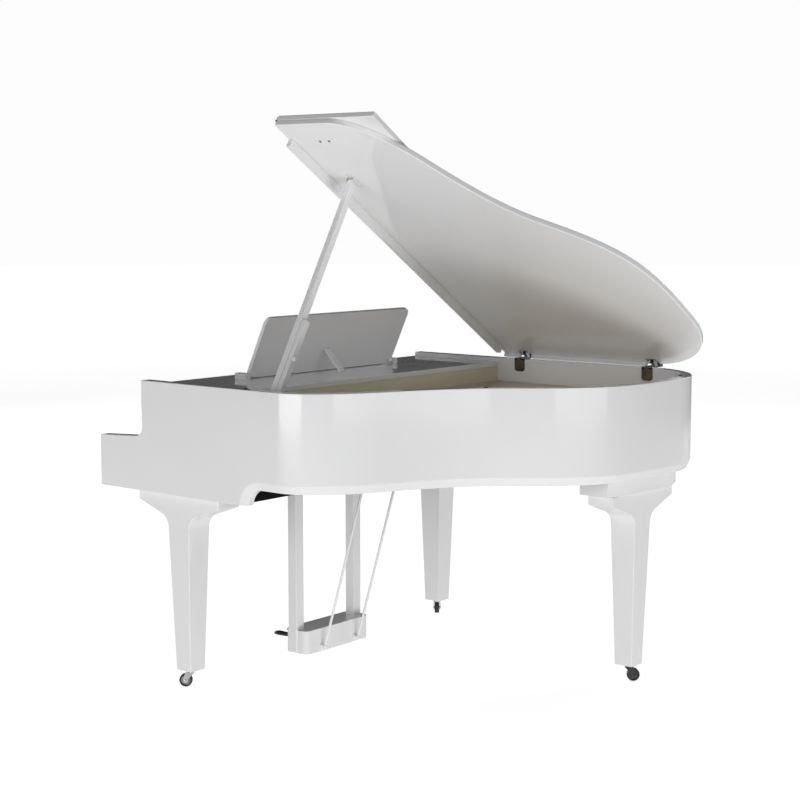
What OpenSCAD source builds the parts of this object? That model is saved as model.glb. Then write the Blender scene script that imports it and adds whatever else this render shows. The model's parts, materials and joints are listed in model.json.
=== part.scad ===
// Digital baby grand piano: a curved case on three legs, with a propped lid,
// a folding music desk, a pedal lyre and a weighted keyboard.
// +X is the treble side, +Y runs to the tail, +Z is up. Millimetres.

/* [Case] */
// Width over the two side panels
case_w = 1412; // [1400:1:1424]
// From the front of the arms to the end of the tail
case_d = 1490; // [1480:5:1510]
// Height of the top edge of the rim
rim_top = 980; // [975:1:990]
// Height of the front end of the arms
arm_top = 792; // [785:1:800]
// Underside of the front of the case
front_bottom = 627; // [620:1:635]
// Underside of the curved rear of the case
rear_bottom = 679; // [675:1:685]
// Thickness of the rim and of the side panels
rim_t = 36; // [30:1:40]
// Where the high sides begin, behind the arms
cheek_y = 198; // [190:1:205]
// Top face of the inner deck
deck_top = 897; // [890:1:905]
// Top face of the music shelf
shelf_top = 966; // [960:1:968]

/* [Lid] */
// How far the lid is propped open, in degrees
lid_open = 32.75; // [31:0.25:34]
// Thickness of the main lid and of the front flap
lid_t = 18; // [16:1:20]
// How far the lid reaches past the rim
lid_overhang = 18; // [12:1:20]
// Front edge of the main lid
lid_front = 587; // [585:1:590]
// Depth of the front flap
flap_d = 385; // [370:5:390]

/* [Prop] */
// Height of the prop's pivot
prop_pivot_z = 911; // [910:1:914]
// How far the prop leans, in degrees from upright
prop_lean = 29.5; // [29:0.5:30]
// Pivot to the upper end of the long prop
prop_len = 796; // [780:1:797]
// Pivot to the upper end of the short prop
short_prop_len = 305; // [250:5:330]

/* [Music desk] */
// Width of the music desk
desk_w = 724; // [600:4:740]
// Height of the music desk above its pivot, along its slope
desk_h = 206; // [180:2:216]
// How far the desk leans back, in degrees from upright
desk_lean = 25; // [24:1:26]

/* [Legs] */
// Height of the lower end of each leg
leg_foot_z = 55; // [54:1:58]
// Width of a leg at its lower end
leg_foot_w = 64; // [56:1:70]
// Width of a leg below its flare
leg_neck_w = 93; // [88:1:98]
// Length of the block at the top of each leg
leg_head_w = 358; // [330:2:380]
// Diameter of a caster wheel
wheel_d = 42; // [40:1:44]

/* [Pedals] */
// Width of the pedal box
pedal_box_w = 326; // [310:2:340]
// Distance between neighbouring pedals
pedal_pitch = 65; // [55:1:75]
// Length of a pedal in front of its axle
pedal_len = 212; // [190:2:220]

/* [Keyboard] */
// Width of one white key with its gap
key_pitch = 23.5; // [23.3:0.1:23.6]
// Height of the white keys' top face
key_top = 722; // [718:1:726]

/* [Hidden] */
$fn = 48;

// Colours
lacquer = [0.93, 0.93, 0.94];
beige = [0.72, 0.66, 0.56];
black_paint = [0.06, 0.06, 0.06];
ivory = [0.95, 0.94, 0.9];
steel = [0.75, 0.76, 0.78];
bronze = [0.3, 0.26, 0.2];
circuit_green = [0.1, 0.35, 0.2];

// Case
half_w = case_w / 2;
inner_x = half_w - rim_t;
joint_y = 780;
arch_y = 710;
arch_r = 55;
bevel_z = 705;
bevel_in = 11;
board_t = 18;
keybed_t = 34;
keybed_front = 26;
keybed_back = 623;
rail_t = 18;
bulkhead_y = [566, 584];
bottom_z = 690;
deck_t = 12;
corner_r = 300;
corner_c = [corner_r - half_w, case_d - corner_r];
tail_flat_x = -372;
curve_steps = 14;

// The bent side: a round shoulder, a hollow waist and a full tail
shoulder = [[half_w, joint_y], [half_w, 885], [590, 968], [498, 1010]];
waist = [[498, 1010], [271, 1112], [203, 1185], [159, 1242]];
tail = [[159, 1242], [8, 1441], [-72, case_d], [tail_flat_x, case_d]];

// Lid
lid_rest_z = rim_top + 3;
hinge_x = -half_w - 24;
hinge_z = lid_rest_z + 7;
hinge_ys = [683, 1215];
hinge_w = 44;
lip_h = 12.5;
lip_gap = 1.5;
lip_y = [600, 1186];
flap_axis_y = lid_front - 3;
flap_axis_w = lid_t + 0.15;
flap_knuckle_r = 2.8;
flap_knuckles = 12;
batten_t = 26;
batten_d = 20;
batten_short = 75;

// Prop
prop_x = 638;
prop_y = 686;
prop_w = 24;
prop_t = 22;
short_w = 20;
short_t = 16;
prop_pin_r = 4;
running = 0.05;
cup_s = 1153;
cup_gap = 13.5;
cup_t = 3;
lid_plate = [632, 724];
knob_along = 178;
short_knob = [9, 11];
short_y = [prop_t / 2 + 1, prop_t / 2 + 1 + short_t];

// Music desk
desk_t = 12;
desk_axis = [338, 979];
desk_drop = 12;
ledge_d = 26;
ledge_z = [12, 22];
knuckle_r = 8;
desk_bracket_x = desk_w / 2 + 2;
desk_bracket = [22, [296, 346], 6.5];
desk_pin_r = 3;
strut_at = 70;
strut_len = 98;
strut_angle = 70;
strut_x = 20;
strut_half = [11, 4.5];
strut_lug_x = [strut_x - 26, strut_x - 12];

// Legs and casters
leg_top_z = front_bottom;
leg_neck_z = 516;
flare_r = 46;
flare_angle = 19.2;
neck = leg_neck_w / 2;
flare_end = [
    neck + flare_r + flare_r * cos(90 + flare_angle),
    leg_neck_z + flare_r * sin(90 + flare_angle)
];
flare_z = flare_end[1] + (leg_head_w / 2 - flare_end[0]) * tan(flare_angle);
leg_places = [[636, 334], [-636, 334], [-307, 1379]];
tail_block_x = [-590, -112];
tail_block_front = 1312;
caster_turns = [309, 219, 129];
caster_trail = 16;
wheel_w = 17;
axle_r = 3;
stem_r = 4;
stem_top = 100;
ear_t = 3;

// Lyre
box_y = [302, 400];
box_z = [14, 94];
box_r = 22;
box_wall = 12;
post_w = 38;
post_x = 148;
post_y = 340;
pedal_axle_y = 374;
pedal_z = 40;
pedal_t = 12;
pedal_bore_r = 4;
screw_r = 5;
screw_xs = [-pedal_pitch / 2, pedal_pitch / 2];
rod_r = 4.5;
rod_x = 86;
rod_foot = [416, 33];
rod_head = [596, front_bottom];

// Keyboard
white_count = 52;
key_w = key_pitch - 1.2;
keys_half = white_count * key_pitch / 2;
key_front = 40;
key_back = 190;
black_front = 95;
key_rear = 404;
key_pivot_y = 396;
key_under = key_top - 22;
stick_w = 7;
stick_h = 14;
key_pivot_z = key_under + stick_h / 2;
key_rod_r = 1.5;
black_w = 11;
black_rise = 12;
moving_keys = [44, 45, 46, 47, 48, 49, 50];
whites_in_octave = [0, 2, 3, 5, 7, 8, 10];
fall_axis = [214, 757];
fall_len = 183;
fall_t = 15;
fall_lean = 4;

// Controls and electronics
block_top = 742;
button_place = [641, 70];
knob_place = [-641, 110];
woofers = [[-360, 1000], [330, 880]];
woofer_r = 82;
jack_xs = [-585, -560];
jack_z = 612;
jack_r = 3.25;
inlet = [-420, 560];
fall_pin_r = 4;

// The object's box is centred on the origin
flap_corner = [lid_overhang, lid_t + flap_axis_w + 0.3];
left_reach = hinge_x + (flap_corner[0] - 12) * cos(lid_open) - (flap_corner[1] - 7) * sin(lid_open);
centre_x = (left_reach + half_w) / 2;
centre_y = (case_d + lid_overhang) / 2;

// ---------- helpers ----------
function unit(v) = v / norm(v);
function bezier(p, t) =
    pow(1 - t, 3) * p[0] + 3 * pow(1 - t, 2) * t * p[1] + 3 * (1 - t) * t * t * p[2] + pow(t, 3) * p[3];
function heading(p, t) =
    unit(pow(1 - t, 2) * (p[1] - p[0]) + 2 * (1 - t) * t * (p[2] - p[1]) + t * t * (p[3] - p[2]));
function outward(v) = [v[1], -v[0]];
function run(p, grow) = [
    for (i = [0 : curve_steps - 1])
        bezier(p, i / curve_steps) + grow * outward(heading(p, i / curve_steps))
];
function corner(grow) = [
    for (i = [0 : curve_steps])
        let (a = 90 + 90 * i / curve_steps)
            corner_c + (corner_r + grow) * [cos(a), sin(a)]
];
function arc(c, r, from, to, steps) = [
    for (i = [0 : steps])
        let (a = from + (to - from) * i / steps)
            c + r * [cos(a), sin(a)]
];

// Plan of the case, grown or shrunk all round, behind the line y = front
module plan(grow, front) {
    polygon(concat(
        [[half_w + grow, front]],
        run(shoulder, grow), run(waist, grow), run(tail, grow), corner(grow),
        [[-half_w - grow, front]]
    ));
}

module slab(z_from, z_to) {
    translate([0, 0, z_from]) linear_extrude(z_to - z_from) children();
}

module block(x, y, z) {
    translate([x[0], y[0], z[0]]) cube([x[1] - x[0], y[1] - y[0], z[1] - z[0]]);
}

// A flat shape drawn in the Y-Z plane, given a thickness along X
module along_x(x) {
    translate([x[0], 0, 0]) rotate([90, 0, 90]) linear_extrude(x[1] - x[0]) children();
}

// A flat shape drawn in the X-Z plane, given a thickness along Y
module along_y(y) {
    translate([0, y[1], 0]) rotate([90, 0, 0]) linear_extrude(y[1] - y[0]) children();
}

module rod_x(x, y, z, r) {
    translate([x[0], y, z]) rotate([0, 90, 0]) cylinder(h = x[1] - x[0], r = r);
}

module rod_y(x, y, z, r) {
    translate([x, y[0], z]) rotate([-90, 0, 0]) cylinder(h = y[1] - y[0], r = r);
}

module placed() {
    translate([-centre_x, -centre_y, 0]) children();
}

// Turns what is drawn for the closed lid to the propped lid
module lid_pose() {
    placed() translate([hinge_x, 0, hinge_z]) rotate([0, -lid_open, 0])
        translate([-hinge_x, 0, lid_rest_z - hinge_z]) children();
}

module screw_head(r) {
    cylinder(h = 2, r1 = r, r2 = r * 0.8);
}

// ---------- case ----------
module side_outline() {
    difference() {
        translate([0, front_bottom]) square([joint_y, rim_top - front_bottom]);
        polygon(concat(
            [[-1, rim_top + 1], [-1, arm_top], [0, arm_top]],
            arc([cheek_y - 30, arm_top + 39], 30, -90, 0, 10),
            [[cheek_y, rim_top + 1]]
        ));
        translate([arch_y, rear_bottom - arch_r]) circle(arch_r);
        translate([arch_y, front_bottom - 1]) square([joint_y, rear_bottom - front_bottom + 1]);
    }
}

module side_panel(side) {
    x = side > 0 ? [inner_x, half_w] : [-half_w, -inner_x];
    pin_x = side > 0 ? [inner_x - 1, inner_x + 10] : [-inner_x - 10, -inner_x + 1];
    color(lacquer) placed() difference() {
        along_x(x) side_outline();
        rod_x(pin_x, fall_axis[0], fall_axis[1], fall_pin_r + running);
    }
}

module treble_side() {
    side_panel(1);
}

module bass_side() {
    side_panel(-1);
}

module bent_rim() {
    bevel_h = (bevel_z - rear_bottom) / 3;
    color(lacquer) placed() difference() {
        union() {
            slab(bevel_z, rim_top) plan(0, joint_y);
            for (i = [0 : 2])
                slab(rear_bottom + i * bevel_h, rear_bottom + (i + 1) * bevel_h)
                    plan(-bevel_in * (3 - i) / 3, joint_y);
        }
        slab(rear_bottom - 1, rim_top + 1) plan(-rim_t, joint_y - 1);
    }
}

module bottom_board() {
    color(black_paint) placed() difference() {
        slab(bottom_z, bottom_z + board_t) plan(-rim_t, keybed_back);
        for (c = woofers)
            translate([c[0], c[1], bottom_z - 1]) cylinder(h = board_t + 2, r = woofer_r - 8);
    }
}

module keybed() {
    color(black_paint) placed() {
        block([-inner_x, inner_x], [keybed_front, keybed_back - rail_t],
            [front_bottom, front_bottom + keybed_t]);
        block([-inner_x, inner_x], [keybed_back - rail_t, keybed_back],
            [front_bottom, bottom_z + board_t]);
    }
}

module bulkhead() {
    color(lacquer) placed()
        block([-inner_x, inner_x], bulkhead_y, [front_bottom + keybed_t, shelf_top - board_t]);
}

module top_board() {
    color(lacquer) placed()
        block([-inner_x, inner_x], [cheek_y, bulkhead_y[1]], [shelf_top - board_t, shelf_top]);
}

module sound_deck() {
    color(beige) placed() slab(deck_top - deck_t, deck_top) plan(-rim_t, bulkhead_y[1]);
}

module key_slip() {
    color(lacquer) placed() block([-inner_x, inner_x], [8, keybed_front], [front_bottom, key_top - 16]);
}

module key_blocks() {
    color(lacquer) placed() difference() {
        for (x = [[keys_half + 3, inner_x], [-inner_x, -keys_half - 3]])
            block(x, [keybed_front, 200], [front_bottom + keybed_t, block_top]);
        translate([button_place[0], button_place[1], block_top - 10]) cylinder(h = 11, r = 6.2);
        translate([knob_place[0], knob_place[1], block_top - 10]) cylinder(h = 11, r = axle_r + running);
    }
}

module nameboard() {
    color(lacquer) placed() block([-inner_x, inner_x], [240, 256], [block_top + 2, shelf_top - board_t]);
}

module power_button() {
    color(black_paint) placed() translate([button_place[0], button_place[1], block_top - 5]) {
        cylinder(h = 7, r = 6);
        translate([0, 0, 7]) cylinder(h = 1, r1 = 6, r2 = 5);
    }
}

module volume_knob() {
    color(black_paint) placed() translate([knob_place[0], knob_place[1], block_top]) {
        translate([0, 0, -9]) cylinder(h = 10, r = axle_r);
        translate([0, 0, 1]) cylinder(h = 3.5, r = 10);
        translate([0, 0, 4.5]) cylinder(h = 1, r1 = 10, r2 = 9);
        translate([0, 5.5, 5]) cylinder(h = 1, r = 1.2);
    }
}

// ---------- keyboard ----------
function is_white(n) = len(search(n % 12, whites_in_octave)) > 0;
function whites_below(n) = floor(n / 12) * 7 + len([for (w = whites_in_octave) if (w < n % 12) w]);
function white_x(n) = -keys_half + key_pitch * (whites_below(n) + 0.5);
// Sharps stand a little off the gap between their neighbours: A#, C#, D#, F#, G#
function sharp_shift(n) = lookup(n % 12, [[1, 3.5], [4, -3], [6, 3], [9, -3.5], [11, 0]]);
function sharp_x(n) = -keys_half + key_pitch * whites_below(n) + sharp_shift(n);
function is_moving(n) = len(search(n, moving_keys)) > 0;

module stick(x) {
    difference() {
        block([x - stick_w / 2, x + stick_w / 2], [key_back - 1, key_rear], [key_under, key_under + stick_h]);
        rod_x([x - stick_w, x + stick_w], key_pivot_y, key_pivot_z, key_rod_r + running);
    }
}

module white_key(n) {
    x = white_x(n);
    difference() {
        union() {
            block([x - key_w / 2, x + key_w / 2], [key_front, key_back], [key_under, key_top]);
            stick(x);
        }
        for (m = [n - 1, n + 1])
            if (m > 0 && m < 87 && !is_white(m))
                block([sharp_x(m) - black_w / 2 - 1, sharp_x(m) + black_w / 2 + 1],
                    [black_front - 1, key_back + 1], [key_under - 1, key_top + 1]);
    }
}

module black_key(n) {
    x = sharp_x(n);
    along_y([black_front, key_back]) polygon([
        [x - black_w / 2, key_under], [x + black_w / 2, key_under],
        [x + black_w / 2 - 1, key_top + black_rise], [x - black_w / 2 + 1, key_top + black_rise]
    ]);
    stick(x);
}

module white_keys() {
    color(ivory) placed() for (n = [0 : 87]) if (is_white(n) && !is_moving(n)) white_key(n);
}

module black_keys() {
    color(black_paint) placed() for (n = [0 : 87]) if (!is_white(n) && !is_moving(n)) black_key(n);
}

module moving_key(n) {
    color(is_white(n) ? ivory : black_paint) placed() {
        if (is_white(n)) white_key(n);
        if (!is_white(n)) black_key(n);
    }
}

module key_f() {
    moving_key(44);
}

module key_f_sharp() {
    moving_key(45);
}

module key_g() {
    moving_key(46);
}

module key_g_sharp() {
    moving_key(47);
}

module key_a() {
    moving_key(48);
}

module key_a_sharp() {
    moving_key(49);
}

module key_b() {
    moving_key(50);
}

module key_frame() {
    low = front_bottom + keybed_t;
    color(steel) placed() {
        block([-keys_half, keys_half], [key_front, key_rear + 6], [low, low + 2]);
        block([-keys_half, keys_half], [key_front + 20, key_front + 50], [low + 2, key_under - 12]);
        block([-keys_half, keys_half], [key_pivot_y - 6, key_pivot_y + 6], [low + 2, key_under - 0.4]);
        rod_x([-keys_half - 2, keys_half + 2], key_pivot_y, key_pivot_z, key_rod_r);
        for (x = [[-keys_half - 2, -keys_half], [keys_half, keys_half + 2]])
            block(x, [key_pivot_y - 10, key_rear + 6], [low, key_pivot_z + 6]);
    }
}

module fallboard() {
    color(lacquer) placed() translate([0, fall_axis[0], fall_axis[1]]) rotate([-fall_lean, 0, 0]) {
        block([-inner_x + 2, inner_x - 2], [-fall_t / 2, fall_t / 2], [0, fall_len - 6]);
        rod_x([-inner_x + 2, inner_x - 2], 0, fall_len - 6, 5);
        rod_x([-inner_x + 2, inner_x - 2], 0, 0, fall_t / 2);
        rod_x([-inner_x - 8, inner_x + 8], 0, 0, fall_pin_r);
    }
}

// ---------- electronics ----------
module speakers() {
    color(black_paint) placed() for (c = woofers) translate([c[0], c[1], bottom_z + board_t]) {
        difference() {
            cylinder(h = 6, r = woofer_r);
            translate([0, 0, -1]) cylinder(h = 8, r = woofer_r - 14);
        }
        translate([0, 0, 6]) cylinder(h = 42, r1 = woofer_r - 8, r2 = 44);
        translate([0, 0, 48]) cylinder(h = 26, r = 48);
    }
}

module main_board() {
    low = bottom_z + board_t;
    color(circuit_green) placed() {
        block([-150, 130], [680, 860], [low + 8, low + 10]);
        for (x = [-140, 120], y = [690, 850]) translate([x, y, low]) cylinder(h = 8, r = 4);
        block([-60, -20], [750, 790], [low + 10, low + 13]);
        block([20, 60], [730, 770], [low + 10, low + 13]);
        for (i = [0 : 3]) block([-130 + 26 * i, -112 + 26 * i], [830, 850], [low + 10, low + 22]);
    }
}

module power_supply() {
    low = bottom_z + board_t;
    color(steel) placed() {
        block([-520, -340], [660, 780], [low, low + 46]);
        for (i = [0 : 7]) block([-510 + 20 * i, -502 + 20 * i], [664, 776], [low + 46, low + 52]);
    }
}

module jack_box() {
    color(black_paint) placed() difference() {
        block([-606, -538], [30, 92], [front_bottom - 30, front_bottom]);
        for (x = jack_xs) rod_y(x, [29, 60], jack_z, jack_r);
    }
}

module ac_inlet() {
    color(black_paint) placed() difference() {
        block([inlet[0] - 28, inlet[0] + 28], [inlet[1] - 16, inlet[1] + 16],
            [front_bottom - 24, front_bottom]);
        block([inlet[0] - 12, inlet[0] + 12], [inlet[1] - 8, inlet[1] + 8],
            [front_bottom - 25, front_bottom - 6]);
    }
}

// ---------- lid ----------
module main_lid() {
    color(lacquer) lid_pose() difference() {
        union() {
            slab(0, lid_t) plan(lid_overhang, lid_front);
            block([-half_w - lid_overhang, -half_w - lip_gap], lip_y, [-lip_h, 1]);
        }
        for (y = hinge_ys) {
            block([hinge_x - 1, -half_w + 22], [y - hinge_w / 2, y + hinge_w / 2], [-1, 2.5]);
            block([hinge_x - 1, -half_w + 1], [y - hinge_w / 2 - 4, y + hinge_w / 2 + 4], [-lip_h - 1, 0]);
        }
    }
}

module lid_batten() {
    color(lacquer) lid_pose()
        block([-inner_x + 6, half_w + lid_overhang - batten_short],
            [lid_front + 1, lid_front + 1 + batten_d], [-batten_t, 0]);
}

module knuckles(first, grip) {
    step = (case_w + 2 * lid_overhang) / flap_knuckles;
    for (i = [first : 2 : flap_knuckles - 1]) {
        x = [-half_w - lid_overhang + i * step + 0.3, -half_w - lid_overhang + (i + 1) * step - 0.3];
        rod_x(x, flap_axis_y, flap_axis_w, flap_knuckle_r);
        block(x, [flap_axis_y + 1.4, lid_front], grip);
    }
}

module lid_fittings() {
    cup_x = hinge_x + cup_s;
    color(bronze) lid_pose() {
        for (y = hinge_ys) {
            block([hinge_x - 2, -half_w + 22], [y - 7.5, y + 7.5], [0, 2.5]);
            block([-half_w - 12, -half_w + 22], [y - hinge_w / 2 + 0.2, y + hinge_w / 2 - 0.2], [0, 2.5]);
            difference() {
                rod_y(hinge_x, [y - 7.5, y + 7.5], 7, 4.5);
                rod_y(hinge_x, [y - 8, y + 8], 7, 2 + running);
            }
        }
        knuckles(0, [3, flap_axis_w]);
        rod_x([-half_w - lid_overhang, half_w + lid_overhang], flap_axis_y, flap_axis_w, 1.2);
        block([cup_x - 25, cup_x + 25], [prop_y - cup_gap + 0.1, prop_y + cup_gap - 0.1], [-2, 0]);
        for (y = [prop_y - cup_gap - cup_t, prop_y + cup_gap])
            block([cup_x - 25, cup_x + 20], [y, y + cup_t], [-14, 0]);
        block([lid_plate[0] - 8, lid_plate[0] + 8], [lid_plate[1] - 28, lid_plate[1] + 28], [-2, 0]);
    }
}

// The tail hinge stands where the rim starts to bend, so its leaf is thicker
function leaf_face(y) = -inner_x + (y > corner_c[1] - 30 ? 7 : 3);

module rim_hinge_leaves() {
    color(bronze) placed() for (y = hinge_ys) {
        leaf_x = leaf_face(y);
        difference() {
            block([-inner_x, leaf_x], [y - 21, y + 21], [rim_top - 44, rim_top + 2.5]);
            slab(rim_top - 50, rim_top) difference() {
                plan(0, cheek_y);
                plan(-rim_t, cheek_y - 1);
            }
        }
        block([-half_w - 28, leaf_x], [y - 21, y + 21], [rim_top, rim_top + 2.5]);
        for (s = [-21, 8.2]) {
            block([hinge_x - 4, hinge_x + 4], [y + s, y + s + 12.8], [rim_top, hinge_z]);
            rod_y(hinge_x, [y + s, y + s + 12.8], hinge_z, 4.5);
        }
        rod_y(hinge_x, [y - 21, y + 21], hinge_z, 2);
        for (dy = [-11, 11])
            translate([leaf_x, y + dy, rim_top - 24]) rotate([0, 90, 0]) screw_head(4);
    }
}

module lid_flap() {
    x = [-half_w - lid_overhang, half_w + lid_overhang];
    color(lacquer) lid_pose() {
        block(x, [lid_front, lid_front + flap_d], [flap_axis_w + 0.15, flap_axis_w + 0.15 + lid_t]);
        difference() {
            knuckles(1, [flap_axis_w + 0.2, flap_axis_w + 15]);
            rod_x([x[0] - 1, x[1] + 1], flap_axis_y, flap_axis_w, 1.2 + running);
        }
    }
}

module lid_bumpers() {
    color(black_paint) placed() for (p = [[-500, 1440], [200, 1175], [688, 640]])
        translate([p[0], p[1], rim_top]) cylinder(h = 2.8, r = 6);
}

// ---------- prop ----------
module prop_pose() {
    placed() translate([prop_x, prop_y, prop_pivot_z]) rotate([0, -prop_lean, 0]) children();
}

module stay(len, w, y) {
    difference() {
        union() {
            block([-w / 2, w / 2], y, [0, len]);
            rod_y(0, y, 0, w / 2);
        }
        rod_y(0, [y[0] - 1, y[1] + 1], 0, prop_pin_r + running);
    }
}

module prop_long() {
    color(lacquer) prop_pose() stay(prop_len, prop_w, [-prop_t / 2, prop_t / 2]);
}

module prop_short() {
    color(lacquer) prop_pose() {
        stay(short_prop_len, short_w, short_y);
        rod_y(0, [short_y[1], short_y[1] + short_knob[1]], knob_along, short_knob[0]);
    }
}

module prop_bracket() {
    color(bronze) placed() {
        for (y = [prop_y - prop_t / 2 - 5, prop_y + short_y[1] + 2])
            block([prop_x - 13, prop_x + 13], [y, y + 3], [deck_top, prop_pivot_z + 10]);
        rod_y(prop_x, [prop_y - prop_t / 2 - 6, prop_y + short_y[1] + 6], prop_pivot_z, prop_pin_r);
    }
}

// ---------- music desk ----------
module desk_pose() {
    placed() translate([0, desk_axis[0], desk_axis[1]]) rotate([-desk_lean, 0, 0]) children();
}

module desk_outline() {
    r = 24;
    polygon(concat(
        [[-desk_w / 2, -desk_drop], [desk_w / 2, -desk_drop]],
        arc([desk_w / 2 - r, desk_h - r], r, 0, 90, 8),
        arc([-desk_w / 2 + r, desk_h - r], r, 90, 180, 8)
    ));
}

module music_desk() {
    knuckle_x = desk_bracket_x - 12;
    color(lacquer) desk_pose() difference() {
        union() {
            translate([0, -1, 0]) rotate([90, 0, 0]) linear_extrude(desk_t) desk_outline();
            block([-desk_w / 2 + 30, desk_w / 2 - 30], [-desk_t - 1 - ledge_d, -desk_t - 1], ledge_z);
            for (s = [-1, 1]) rod_x([s * knuckle_x - 10, s * knuckle_x + 10], 0, 0, knuckle_r);
            block(strut_lug_x, [-1.2, 10], [strut_at - 7, strut_at + 7]);
        }
        for (s = [-1, 1]) rod_x([s * knuckle_x - 11, s * knuckle_x + 11], 0, 0, desk_pin_r + running);
        rod_x([strut_lug_x[0] - 1, strut_x], 5, strut_at, desk_pin_r + running);
    }
}

module desk_brackets() {
    color(lacquer) placed() for (s = [-1, 1]) {
        far = desk_bracket_x + desk_bracket[0];
        x = s > 0 ? [desk_bracket_x, far] : [-far, -desk_bracket_x];
        pin = s > 0 ? [desk_bracket_x - 22, x[1]] : [x[0], -desk_bracket_x + 22];
        block(x, desk_bracket[1], [shelf_top, desk_axis[1] + desk_bracket[2]]);
        rod_x(pin, desk_axis[0], desk_axis[1], desk_pin_r);
    }
}

module desk_strut() {
    across = [strut_x - strut_half[0], strut_x + strut_half[0]];
    color(lacquer) desk_pose() translate([0, 5, strut_at]) rotate([strut_angle, 0, 0]) {
        block(across, [-strut_half[1], strut_half[1]], [-strut_len, 0]);
        rod_x(across, 0, 0, strut_half[1]);
        rod_x([strut_lug_x[0] + 1, strut_x], 0, 0, desk_pin_r);
    }
}

// ---------- legs and casters ----------
module leg_front_shape() {
    right = concat(
        [[leg_foot_w / 2, leg_foot_z]],
        arc([neck + flare_r, leg_neck_z], flare_r, 180, 90 + flare_angle, 8),
        [[leg_head_w / 2, flare_z], [leg_head_w / 2, leg_top_z]]
    );
    polygon(concat(right, [for (i = [len(right) - 1 : -1 : 0]) [-right[i][0], right[i][1]]]));
}

module leg_side_shape() {
    polygon([
        [-leg_foot_w / 2, leg_foot_z], [leg_foot_w / 2, leg_foot_z],
        [neck, flare_end[1]], [neck, leg_top_z], [-neck, leg_top_z], [-neck, flare_end[1]]
    ]);
}

// A leg at the origin with its long head along X
module leg() {
    difference() {
        intersection() {
            along_y([-100, 100]) leg_front_shape();
            along_x([-250, 250]) leg_side_shape();
        }
        translate([0, 0, leg_foot_z - 1]) cylinder(h = stem_top - leg_foot_z + 3, r = stem_r + running);
    }
}

module leg_at(i, turn) {
    color(lacquer) placed() translate([leg_places[i][0], leg_places[i][1], 0]) rotate([0, 0, turn]) leg();
}

module leg_treble() {
    leg_at(0, 90);
}

module leg_bass() {
    leg_at(1, 90);
}

module leg_tail() {
    leg_at(2, 0);
}

module tail_block() {
    color(lacquer) placed() slab(leg_top_z, bottom_z) intersection() {
        plan(-rim_t - 10, 700);
        translate([tail_block_x[0], tail_block_front]) square([tail_block_x[1] - tail_block_x[0], 200]);
    }
}

module caster_pose(i) {
    placed() translate([leg_places[i][0], leg_places[i][1], 0]) rotate([0, 0, caster_turns[i]]) children();
}

module fork(i) {
    ear = wheel_w / 2 + 1.5;
    color(steel) caster_pose(i) {
        translate([0, 0, wheel_d + 6]) cylinder(h = leg_foot_z - 1 - wheel_d - 6, r = 16);
        translate([0, 0, leg_foot_z - 2]) cylinder(h = stem_top - leg_foot_z + 2, r = stem_r);
        for (y = [[ear, ear + ear_t], [-ear - ear_t, -ear]])
            along_y(y) polygon([
                [-12, wheel_d + 7], [14, wheel_d + 7], [caster_trail + 8, wheel_d / 2 + 4],
                [caster_trail + 8, wheel_d / 2 - 6], [caster_trail - 8, wheel_d / 2 - 6],
                [caster_trail - 10, wheel_d / 2 + 4]
            ]);
        rod_y(caster_trail, [-ear - ear_t - 1.5, ear + ear_t + 1.5], wheel_d / 2, axle_r);
    }
}

module wheel(i) {
    color(black_paint) caster_pose(i) translate([caster_trail, 0, wheel_d / 2]) rotate([90, 0, 0])
        rotate_extrude($fn = 72) polygon([
            [axle_r + running, -wheel_w / 2 - 1], [9, -wheel_w / 2 - 1], [9, -wheel_w / 2 + 2],
            [wheel_d / 2 - 5, -wheel_w / 2 + 2], [wheel_d / 2 - 4, -wheel_w / 2],
            [wheel_d / 2 - 1.5, -wheel_w / 2], [wheel_d / 2, -wheel_w / 2 + 2],
            [wheel_d / 2, wheel_w / 2 - 2], [wheel_d / 2 - 1.5, wheel_w / 2],
            [wheel_d / 2 - 4, wheel_w / 2], [wheel_d / 2 - 5, wheel_w / 2 - 2],
            [9, wheel_w / 2 - 2], [9, wheel_w / 2 + 1], [axle_r + running, wheel_w / 2 + 1]
        ]);
}

module caster_fork_treble() {
    fork(0);
}

module caster_fork_bass() {
    fork(1);
}

module caster_fork_tail() {
    fork(2);
}

module caster_wheel_treble() {
    wheel(0);
}

module caster_wheel_bass() {
    wheel(1);
}

module caster_wheel_tail() {
    wheel(2);
}

// ---------- lyre and pedals ----------
module rounded_plan(w, y, r) {
    x = w / 2 - r;
    polygon(concat(
        arc([x, y[0] + r], r, -90, 0, 8), arc([x, y[1] - r], r, 0, 90, 8),
        arc([-x, y[1] - r], r, 90, 180, 8), arc([-x, y[0] + r], r, 180, 270, 8)
    ));
}

module pedal_box() {
    inside = [box_y[0] + box_wall, box_y[1] - box_wall];
    wall_x = post_x - post_w / 2 - 4;
    color(lacquer) placed() difference() {
        slab(box_z[0], box_z[1]) rounded_plan(pedal_box_w, box_y, box_r);
        block([-wall_x, wall_x], inside, [box_z[0] - 1, box_z[1] - box_wall]);
        for (i = [-1 : 1])
            block([i * pedal_pitch - 16, i * pedal_pitch + 16], [box_y[0] - 1, inside[0] + 1],
                [pedal_z - 16, pedal_z + 14]);
        for (s = [-1, 1])
            block([s * post_x - post_w / 2, s * post_x + post_w / 2],
                [post_y - post_w / 2, post_y + post_w / 2], [box_z[0] + 4, box_z[1] + 1]);
        rod_x([-wall_x - 6, wall_x + 6], pedal_axle_y, pedal_z + 2, pedal_bore_r);
        for (x = screw_xs)
            translate([x, post_y, box_z[1] - box_wall - 1]) cylinder(h = 6, r = screw_r);
    }
}

module lyre_posts() {
    color(lacquer) placed() for (s = [-1, 1])
        block([s * post_x - post_w / 2, s * post_x + post_w / 2],
            [post_y - post_w / 2, post_y + post_w / 2], [box_z[0] + 4, front_bottom]);
}

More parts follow.
